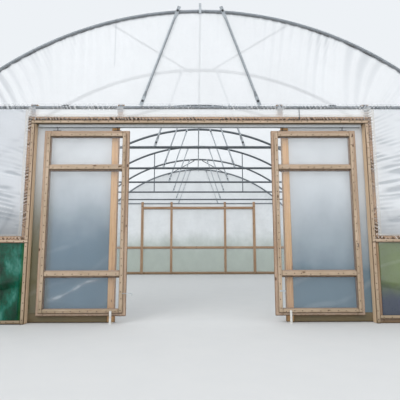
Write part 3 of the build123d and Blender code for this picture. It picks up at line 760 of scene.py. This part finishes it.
tie_shape = Shape()
tie_x, tie_y, tie_radius = 1.375, film_front - 0.012, 0.0045
add_rod(tie_shape, [(tie_x, tie_y, header_high.z - 0.03), (tie_x, tie_y, header_high.z + 0.10),
                    (tie_x, tie_y + 0.006, crossbar_z - 0.01)], tie_radius)
add_disc(tie_shape, (tie_x, tie_y + 0.004, header_high.z - 0.02), -1, 2 * tie_radius, 0.008, 12)
tie_shape.piece("header_tie", dark_steel, "tunnel", "galvanised_steel")


# Supports and folds of the front gable's film

out_front, out_rear = (0.0, -1.0, 0.0), (0.0, 1.0, 0.0)
stud_x = [corner.x for corner in solids_of("header_studs")[-1]]
set_back = -0.0018
round_hug = 0.017
rail_end_x = 4.8
smooth_bay_x = -0.96
crown_furrow_x = -1.21


def timber_supports(far, z):
    """How far a point is beside a gable's posts and studs at any height, and how far outside its header."""
    post = max(post_inner_x - far, far - post_outer_x)
    stud = max(stud_x[0] - far, far - stud_x[1])
    return post, stud, max(far - post_inner_x, z - header_high.z, header_low.z - z)


def gable_supports(x, _, z):
    """How far a point of the front gable's film is outside the nearest support; below 0 it lies on it.

    The tongues and studs stand a little behind the film, and the saddles lift it off the crossbar there.
    The film hugs round tubes closely, so it stays clear almost to their edges.
    """
    far = abs(x)
    post, stud, beam = timber_supports(far, z)
    hoop = abs(hoop_reach(x, z)) - tube_radius - round_hug
    bar = abs(z - crossbar_z) - crossbar_radius - 0.6 * round_hug
    rail = max(far - rail_end_x, waist_z - z, z - waist_top, post_inner_x - far)
    upright = max(min(post, stud), z - crossbar_z)
    if upright < 0:
        bar = max(bar, set_back)
    return min(hoop, bar, max(post, z - header_high.z), rail, beam, max(upright, set_back))


def rear_supports(x, _, z):
    """The same for the rear gable, where the film is held at the ground too."""
    far = abs(x)
    post, stud, beam = timber_supports(far, z)
    hoop = abs(hoop_reach(x, z)) - tube_radius
    bar = abs(z - crossbar_z) - crossbar_radius
    return min(hoop, bar, max(min(post, stud), z - header_high.z), max(waist_z - z, z - waist_top), beam,
               z - ground_rail_top)


def lower_supports(ground_top):
    """The post, the waist rail, the ground rail and the hoop's leg behind a lower panel."""
    def supports(x, _, z):
        return min(abs(hoop_reach(x, z)) - tube_radius, abs(x) - post_outer_x, waist_z - z, z - ground_top)
    return supports


def frame_supports(low, high, border, bars=()):
    """The timbers behind a framed sheet: its border, and bars with middles at some heights."""
    def supports(x, _, z):
        edge = min(x - low.x, high.x - x, z - low.z, high.z - z) - border
        return min([edge] + [abs(z - middle) - stile_width / 2 for middle in bars])
    return supports


def envelope(distance, reach):
    """1 up to a place, dying out beyond it."""
    return exp(-max(distance, 0.0) / reach)


def pleats(place, pitch, seed, sharp=0.75, uneven=3.5):
    """Uneven folds along a direction: rounded furrows down to -1.2 and narrow ridges up to 1.2."""
    wander = ripple(seed, (place / pitch * 0.31, 0.2, 0.7)) * uneven
    strength = 0.55 + 0.75 * ripple(seed + 4, (place / pitch * 0.23, 0.9, 0.1))
    profile = 1 - 2 * abs(sin((tau * place / pitch + wander) / 2)) ** sharp
    return profile * min(max(strength, 0.0), 1.2)


def patchy(seed, place, scale=1.0, low=-0.25, high=0.25):
    """Patches where folds show, from 0 to 1."""
    return smooth_step(low, high, ripple(seed, place, scale))


def off_smooth_bay(x):
    """0 in the one bay of the crossbar where the film is pulled smooth, and 1 elsewhere."""
    return smooth_step(0.11, 0.15, abs(x - smooth_bay_x))


def crossbar_folds(x, z):
    """Film bunched where it crosses the crossbar."""
    reach = envelope(abs(z - crossbar_z) - 0.02, 0.03) * off_smooth_bay(x)
    slanted = pleats(x + 0.5 * (z - crossbar_z), 0.062, 6.0, 1.5)
    crossed = pleats(x - 0.8 * (z - crossbar_z), 0.047, 7.0, 1.5)
    value = max(slanted, crossed - 0.15) * (0.55 + 0.45 * patchy(8.0, (x, 0, 0), 2.2))
    return 0.009 * max(value, 0) * reach, 1.25 * value * reach


def crown_folds(x, _, z):
    """Folds of the gable film between the crossbar and the crown, fanned square to the hoop."""
    inward = hoop_reach(x, z) - tube_radius
    arc = arc_length(x, z)
    outer = smooth_step(1.0, 2.7, abs(x))
    sway = ripple(3.0, (arc * 1.1, z * 0.7, 0.3)) * 0.08
    lean = 0.06 + 0.62 * smooth_step(1.9, 3.1, abs(x))
    place = x - (1 if x > 0 else -1) * lean * (z - crossbar_z) + sway
    fine = pleats(arc + sway * 0.4, 0.058, 1.0)
    soft = pleats(place, 0.13, 2.0, 1.0)
    broad = pleats(place * 0.93 + sway, 0.43, 4.0, 1.3)
    fine_reach = envelope(inward, 0.08 + 0.26 * outer) * (0.15 + 0.85 * outer) * patchy(5.0, (arc, z, 0), 1.6)
    soft_reach = envelope(inward - 0.1, 1.1) * (0.3 + 0.7 * outer)
    off_tube = smooth_step(-0.05, 0.01, inward)
    bay = 0.55 + 0.75 * patchy(9.0, (place * 0.8, 0, 0))
    push, crease = crossbar_folds(x, z)
    push += 0.0045 * (fine + 0.4) * fine_reach * (0.3 + 0.7 * off_tube)
    push += (0.008 * soft + 0.006 * broad) * soft_reach * off_tube
    crease += 0.9 * fine * fine_reach + (0.85 * soft * bay + 0.35 * broad) * soft_reach * off_tube
    crease -= 0.6 * envelope(abs(x - crown_furrow_x) - 0.004, 0.006) * smooth_step(3.50, 3.55, z)
    # A furrow just inside the tube's edge, painted as the shade where the film leaves the tube.
    crease -= 0.65 * envelope(abs(inward - 0.016) - 0.007, 0.006)
    return push, crease


def side_folds(x, _, z):
    """Folds that fan outward from the post battens, between the waist rails and the crossbar."""
    seed = 16.0 if x > 0 else 6.0
    out = abs(x) - batten_outer_x
    height = (z - waist_z) / (crossbar_z - waist_z)
    level = z - (0.05 + 0.38 * height) * max(out, 0) + 0.05 * ripple(seed, (x * 1.5, 0, z * 1.3))
    teeth, teeth_reach = pleats(level, 0.040, seed, 1.1), envelope(out - 0.03, 0.04)
    foot = pleats(x, 0.05, seed + 7, 1.1)
    foot_reach = envelope(z - waist_edge, 0.05) * smooth_step(0.03, 0.1, out)
    dashes = 0.15 + 0.85 * patchy(seed + 5, (x * 2.2, 0, z * 6.0), 1.5, -0.15, 0.3)
    strands = pleats(level, 0.058, seed + 1, 0.55) * dashes
    strands *= smooth_step(0.02, 0.12, out) * envelope(out - 0.1, 0.45)
    long_dashes = 0.1 + 0.9 * patchy(seed + 6, (x * 1.1, 0, z * 5.0), 1.3, -0.1, 0.35)
    swayed = level + 0.02 * ripple(seed + 2, (x * 3, 0, z * 2))
    long_strands = pleats(swayed, 0.105, seed + 3, 0.6) * long_dashes
    long_strands *= smooth_step(0.04, 0.3, out) * envelope(out - 0.45, 0.9)
    broad = pleats(level, 0.31, seed + 4, 1.2)
    broad *= smooth_step(0.0, 0.4, out) * (0.4 + 0.6 * envelope(out - 0.6, 1.2))
    shown = smooth_step(0.02, 0.20, z - waist_top) * (1 - 0.55 * smooth_step(0.5, 0.85, height))
    push, crease = crossbar_folds(x, z)
    push += 0.007 * max(teeth + 0.3, 0) * teeth_reach + 0.004 * max(foot + 0.2, 0) * foot_reach
    push += (0.006 * strands + 0.008 * long_strands + 0.010 * broad) * shown
    crease += 1.1 * teeth * teeth_reach + 0.7 * foot * foot_reach
    crease += (1.9 * strands + 1.5 * long_strands + 0.35 * broad) * shown
    return push * smooth_step(waist_edge, waist_edge + 0.02, z), crease


def header_folds(x, _, z):
    """Short pleats gathered over the header, and those that cross the crossbar."""
    gather = pleats(x + 0.25 * (z - header_batten_top), 0.044, 21.0, 1.1)
    reach = envelope(z - header_batten_top - 0.015, 0.03) * (0.5 + 0.5 * patchy(22.0, (x, 0, 0), 1.8))
    above = smooth_step(header_batten_top - 0.004, header_batten_top + 0.012, z)
    push, crease = crossbar_folds(x, z)
    push += 0.0075 * max(gather + 0.3, 0) * reach
    return push * above, (1.1 * gather * reach + crease) * above


def gathers(axis, seat_line, reach, pitch, seed, line=0.0):
    """Tight crossing pleats that stand up from a batten's edge and die out away from it.

    line is how much painted shade and grime lie in the corner along the edge itself.
    """
    def lift(x, _, z):
        along, off = (x, z - seat_line) if axis == 0 else (z, abs(x) - seat_line)
        slanted = pleats(along + 0.5 * off, pitch, seed, 1.3, 9.0)
        crossed = pleats(along - 0.9 * off, pitch * 0.68, seed + 1, 1.3, 9.0)
        value = min(max(slanted + 0.8 * crossed, -1.0), 1.0)
        value *= 0.35 + 0.65 * patchy(seed + 3, (along, off, 0), 7.0)
        fade = envelope(abs(off) - 0.35 * reach, 0.5 * reach)
        # The corner is a furrow, which the film paints as shade and grime.
        corner = line * envelope(abs(off - 0.005), 0.011) * (0.5 + 0.5 * patchy(seed + 2, (along, 0, 0), 9.0))
        return 0.008 * max(value + 0.2, 0) * fade, 1.9 * value * fade - corner
    return lift


# Sheets

def spaced(low, high, gap, fine=None, fine_low=0.0, fine_high=0.0):
    """Places from low to high, a gap apart, or a fine gap near chosen ends."""
    places = [low]
    while places[-1] < high:
        here = places[-1]
        places.append(here + (fine if here - low < fine_low or high - here < fine_high else gap))
    places[-1] = high
    return places


def flat_rows(xs, zs, y):
    """Rows of points on an upright plane that faces the front."""
    return [[(x, y, z, out_front) for x in xs] for z in zs]


def flat_area(rows):
    """Area of a sheet given by rows of points, before any folds."""
    total = 0.0
    for row, after in zip(rows, rows[1:]):
        for corners in zip(row, row[1:], after[1:], after):
            a, b, c, d = (Vector(corner[:3]) for corner in corners)
            total += ((b - a).cross(c - a).length + (c - a).cross(d - a).length) / 2
    return total


def make_sheet(name, rows, folds, material, flat, supports=gable_supports,
               replaced="front_gable_film", body="tunnel", slot="polythene_film",
               slack=0.009):
    """folds gives how far a point is pushed out and how sharply it is creased. slack is how far inside a
    support's edge the film already parts from it. Folds higher than fold_rest part from it too.
    """
    fold_rest = 0.0035
    points, creases, seats = [], [], []
    for row in rows:
        for x, y, z, out in row:
            push, crease = folds(x, y, z)
            points.append((x + out[0] * push, y + out[1] * push, z + out[2] * push))
            creases.append(crease)
            seats.append(max(supports(x, y, z) + slack, push - fold_rest))
    width = len(rows[0])
    faces = [(a, a + 1, a + width + 1, a + width)
             for start in range(0, (len(rows) - 1) * width, width)
             for a in range(start, start + width - 1)]
    shape = Shape()
    shape.add(points, faces, crease=creases, stand_off=seats)
    piece = shape.piece(name, material, body, slot, smooth=True)
    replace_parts(piece, replaced)
    min(round(flat_area(rows), 3), flat[0] * flat[1])


def crown_rows(columns=560, lines=44):
    """Rows from the crossbar's level up to the crown arc, closer together at both ends."""
    reach = hoop_x(crossbar_z, tube_radius)
    xs = [-reach + 2 * reach * index / columns for index in range(columns + 1)]
    rows = []
    for line in range(lines + 1):
        t = line / lines
        share = t**1.6 / (t**1.6 + (1 - t) ** 1.5)
        rows.append([(x, film_front, crossbar_z + (hoop_top(x, tube_radius) - crossbar_z) * share, out_front)
                     for x in xs])
    return rows


def side_rows(side, low, high, line_gap, column_gap, near=0.42, far_columns=52):
    """Rows across one side of the gable, from the post's inner face out to the hoop's leg."""
    rows = []
    first = spaced(0.0, near, column_gap)
    for z in spaced(low, high, line_gap, line_gap * 0.6, 0.0, 0.09):
        beyond = hoop_x(z, tube_radius) - post_inner_x - near
        steps = first + [near + beyond * (k / far_columns) ** 1.25 for k in range(1, far_columns + 1)]
        row = [(side * (post_inner_x + step), film_front, z, out_front) for step in steps]
        rows.append(row if side > 0 else row[::-1])
    return rows


gable_film = film("gable_film", 0.82, (253, 254, 255), glow=0.3, shadow=0.4)
# The left copy is painted darker, as painted shade, and the right lighter, as painted light.
side_films = {
    -1: film("left_side_film", 0.93, (232, 235, 239), deep=(140, 144, 148), low_z=1.0, high_z=1.75,
             cloudy=0.09, shadow=0.5),
    1: film("right_side_film", 0.93, (249, 251, 253), deep=(164, 168, 171), low_z=0.9, high_z=1.75,
            cloudy=0.09, shadow=0.5)}
make_sheet("gable_film_crown", crown_rows(), crown_folds, gable_film,
           (2 * hoop_x(crossbar_z, tube_radius), crown_height + tube_radius - crossbar_z))
header_rows = flat_rows(spaced(-post_inner_x, post_inner_x, 0.0105),
                        spaced(header_low.z, crossbar_z, 0.014, 0.0065, 0.11, 0.06), film_front)
make_sheet("gable_film_header", header_rows, header_folds, gable_film,
           (2 * post_inner_x, crossbar_z - header_low.z))
for side, side_name in sides:
    make_sheet(f"gable_film_{side_name}", side_rows(side, waist_joint + 0.001, crossbar_z, 0.0105, 0.011),
               side_folds, side_films[side],
               (hoop_x(waist_joint, tube_radius) - post_inner_x, crossbar_z - waist_joint))

# Gathered strips over the crossbar, the header, the posts and the waist rails
wood_gathers = film("gathered_film", 0.34, (240, 236, 228), clear=0.03, glow=0.4, shadow=0.4, grime=0.95)
post_gathers = film("post_gathered_film", 0.34, (246, 240, 230), clear=0.03, glow=0.4, grime=0.6)
steel_gathers = film("crossing_film", 0.30, (244, 247, 250), clear=0.02, glow=0.4, shadow=0.2, grime=0.2)
gather_y = film_front - 0.0015
bar_reach = hoop_x(crossbar_z, -tube_radius)
bar_pleats = gathers(0, crossbar_z, 0.05, 0.05, 81.0)


def bar_gathers(x, y, z):
    """Pleats along the crossbar, but for the bay that is pulled smooth."""
    return tuple(part * off_smooth_bay(x) for part in bar_pleats(x, y, z))


def make_gathers(name, low, high, near, far, folds, material, fullness, flat_width, side=None):
    """A gathered strip from low to high along x, or up one side of the doors, and from near to far across."""
    along = spaced(low, high, 0.0075)
    lines = 11
    across = [near + (far - near) * line / lines for line in range(lines + 1)]
    rows = flat_rows(along, across, gather_y)
    if side:
        rows = [[(side * x, gather_y, z, out_front) for z in along] for x in across]
    make_sheet(name, rows, folds, material, (fullness * (high - low), flat_width))


make_gathers("crossbar_gathers", -bar_reach, bar_reach, crossbar_z - 0.045, crossbar_z + 0.045, bar_gathers,
             steel_gathers, 1.05, 0.1)
make_gathers("header_gathers", -post_outer_x, post_outer_x, header_batten_top, header_high.z + 0.03,
             gathers(0, header_batten_top, 0.05, 0.046, 84.0, line=1.3), wood_gathers, 1.05, 0.1)
for side, side_name in sides:
    make_gathers(f"{side_name}_post_gathers", waist_top, crossbar_z, batten_outer_x, post_outer_x + 0.04,
                 gathers(2, batten_outer_x, 0.08, 0.042, 87.0 + 3 * side, line=0.3), post_gathers, 1.1, 0.11,
                 side)
    rail_low, rail_high = sorted((side * batten_outer_x, side * hoop_x(waist_top, -tube_radius)))
    make_gathers(f"{side_name}_rail_gathers", rail_low, rail_high, waist_edge, waist_top + 0.02,
                 gathers(0, waist_edge, 0.05, 0.05, 97.0 + 3 * side, line=0.3), post_gathers, 1.1, 0.1)


def panel_folds(seed, amount=1.0):
    """A few slack, soft creases in the small sheets."""
    def lift(x, _, z):
        drift = 0.12 * ripple(seed, (x * 1.6, 0.3, z * 1.1))
        slack = patchy(seed + 3, (x * 1.2, 0.1, z * 0.9))
        tilted = pleats(z - x * 0.45 + drift, 0.42, seed + 1, 1.6) * slack
        upright = pleats(x + z * 0.12 + drift, 0.30, seed + 2, 1.6) * (1 - slack)
        return amount * (0.003 * tilted + 0.002 * upright), amount * (0.3 * tilted + 0.12 * upright)
    return lift


def door_folds(side):
    """Slack creases, and on the left door a long one that slants across its lowest pane."""
    soft = panel_folds(51.0 + side, 0.5)
    crease_x, crease_z, crease_slope = -2.13, 0.27, 0.40

    def lift(x, y, z):
        push, crease = soft(x, y, z)
        if side < 0:
            off_line = z - crease_z - crease_slope * (x - crease_x) + 0.05 * ripple(55.0, (x * 3, 0, 0))
            within = smooth_step(-2.07, -2.0, x) * (1 - smooth_step(0.54, 0.60, z))
            # The long crease is painted as a highlight by the film.
            crease_highlight = 0.50 + 0.14 * patchy(56.0, (x, 0, z), 9.0)
            crease += crease_highlight * envelope(abs(off_line) - 0.010, 0.050) * within
        return push, crease
    return lift


lower_film = film("lower_panel_film", 0.90, (116, 132, 86), clear=0.12, deep=(62, 72, 92),
                  cloudy=0.4, low_z=0.3, high_z=0.6, glow=0.25)
net = netting("green_netting")
for side, piece_name, node, material, slot in (
        (-1, "vent_netting", "left_vent_mesh", net, "green_netting"),
        (1, "lower_panel_film", "right_lower_film", lower_film, "polythene_film")):
    ground_top = min(solids_of("gable_rails")[0 if side < 0 else -1][1].z, ground_rail_top)
    make_sheet(piece_name, side_rows(side, ground_gap, waist_joint - 0.001, 0.02, 0.02),
               panel_folds(31.0 + side, 1.4), material,
               (hoop_x(ground_gap, tube_radius) - post_inner_x, waist_joint - ground_gap),
               lower_supports(ground_top), node, slot=slot,
               slack=0.02)

# Both turn to a darker colour lower down, as painted shade.
fixed_films = {
    -1: film("left_fixed_film", 0.97, (250, 252, 253), clear=0.12, deep=(120, 142, 156), cloudy=0.14,
             low_z=0.85, high_z=2.45, rim=(-2.0, -2.12, (128, 122, 92))),
    1: film("right_fixed_film", 0.97, (250, 252, 253), clear=0.12, deep=(124, 146, 158), cloudy=0.14,
            low_z=0.66, high_z=2.8, bend=0.38)}
for side, side_name in sides:
    low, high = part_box(f"{side_name}_fixed_film")
    make_sheet(f"{side_name}_fixed_panel_film",
               flat_rows(spaced(low.x, high.x, 0.03), spaced(low.z, high.z, 0.03), low.y),
               panel_folds(41.0 + side), fixed_films[side], (high.x - low.x, high.z - low.z),
               frame_supports(low, high, 0.0), f"{side_name}_fixed_film")

# It turns to a darker colour lower down, as painted shade.
door_film = film("door_film", 0.24, (240, 244, 248), clear=0.04, deep=(176, 190, 202),
                 cloudy=0.12, low_z=1.0, high_z=2.2)
for side, side_name in sides:
    low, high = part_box(f"{side_name}_door_film")
    border = stile_width - (low.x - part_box(f"{side_name}_door_frame")[0].x)
    make_sheet(f"{side_name}_door_sheet",
               flat_rows(spaced(low.x, high.x, 0.02), spaced(low.z, high.z, 0.02), (low.y + high.y) / 2),
               door_folds(side), door_film, (high.x - low.x, high.z - low.z),
               frame_supports(low, high, border, rail_middles(side_name)),
               f"{side_name}_door_film", f"{side_name}_door")


# Cover film over the hoops, and the rear gable

cover_grow = tube_radius + 0.002
cover_crown, cover_leg = crown_radius + cover_grow, leg_radius + cover_grow
foot_length = leg_centre_z - ground_gap
leg_length = cover_leg * (pi / 2 - haunch_angle)
half_cover = foot_length + leg_length + cover_crown * haunch_angle


def cover_point(y, share):
    """A point and outward direction of the cover, from one foot (share 0) to the other (1)."""
    along = share * 2 * half_cover
    side = 1 if along > half_cover else -1
    along = min(along, 2 * half_cover - along)
    if along < foot_length:
        return side * (leg_centre_x + cover_leg), y, ground_gap + along, (side, 0.0, 0.0)
    if along < foot_length + leg_length:
        centre_x, centre_z, radius, turn = leg_centre_x, leg_centre_z, cover_leg, 0.0
        along -= foot_length
    else:
        centre_x, centre_z, radius, turn = 0.0, crown_centre_z, cover_crown, pi / 2 - haunch_angle
        along -= foot_length + leg_length
    turn += along / radius
    return (side * (centre_x + radius * cos(turn)), y, centre_z + radius * sin(turn),
            (side * cos(turn), 0.0, sin(turn)))


def cover_folds(x, y, z):
    """The cover dips a little between hoops, is gathered at its ends and along its foot."""
    dip = smooth_step(0.03, 0.9, min(abs(y - hoop_y) for hoop_y in hoop_ys))
    arc = arc_length(x, z)
    gather = pleats(arc, 0.15, 61.0)
    gather *= envelope(min(y - film_front, -film_front - y), 0.5) * smooth_step(0.5, 2.6, abs(x))
    foot = pleats(y + 0.08 * ripple(63.0, (y, z, 0.2), 1.5), 0.21, 62.0) * envelope(z - 0.15, 0.55)
    drift = pleats(y + 0.3 * ripple(64.0, (y * 0.5, arc * 0.4, 0)), 0.62, 65.0, 1.4)
    push = (0.0035 * gather + 0.004 * foot - 0.010 * (1 - 0.2 * drift)) * dip
    return push, 0.5 * gather + 0.5 * foot + 0.16 * drift * dip


def cover_supports(_, y, __):
    return min(abs(y - hoop_y) for hoop_y in hoop_ys) - tube_radius * 0.8


cover_film = film("cover_film", 0.72, (248, 250, 251), clear=0.14, glow=0.75)
cover_columns = 230
cover_rows = [[cover_point(y, index / cover_columns) for index in range(cover_columns + 1)]
              for y in spaced(film_front, -film_front, 0.055)]
make_sheet("cover_sheet", cover_rows, cover_folds, cover_film,
           (round(-2 * film_front, 3), round(2 * half_cover, 3)),
           cover_supports, "roof_film")


def rear_folds(x, _, z):
    """Slack in the rear gable's film, fanned near the hoop and level above the waist rails."""
    fan = pleats(arc_length(x, z), 0.17, 71.0)
    fan_reach = envelope(hoop_reach(x, z), 0.8) * smooth_step(1.0, 3.0, abs(x))
    slack = pleats(z + 0.2 * abs(x) + 0.1 * ripple(72.0, (x, 0, z), 1.2), 0.24, 73.0, 1.2)
    slack_reach = 0.5 * smooth_step(0.0, 0.3, z - waist_top)
    push = 0.004 * ((fan + 0.8) * fan_reach + (slack + 0.8) * slack_reach)
    push *= smooth_step(-0.004, 0.08, rear_supports(x, 0, z))
    return push, 0.5 * fan * fan_reach + 0.35 * slack * slack_reach


rear_film = film("rear_film", 0.84, (244, 247, 248), clear=0.12, deep=(178, 190, 178),
                 cloudy=0.12, low_z=0.9, high_z=1.9, glow=0.5)
rear_reach, rear_trim, rear_lines = leg_centre_x + leg_radius + tube_radius, 0.004, 95
rear_xs = spaced(rear_trim - rear_reach, rear_reach - rear_trim, 0.036, 0.02, 0.3, 0.3)
rear_rows = [[(x, -film_front, ground_gap + (hoop_top(x, tube_radius) - ground_gap) * line / rear_lines,
               out_rear) for x in rear_xs] for line in range(rear_lines + 1)]
make_sheet("rear_gable_sheet", rear_rows, rear_folds, rear_film,
           (2 * rear_reach, crown_height + tube_radius - ground_gap),
           rear_supports, "rear_gable_film")
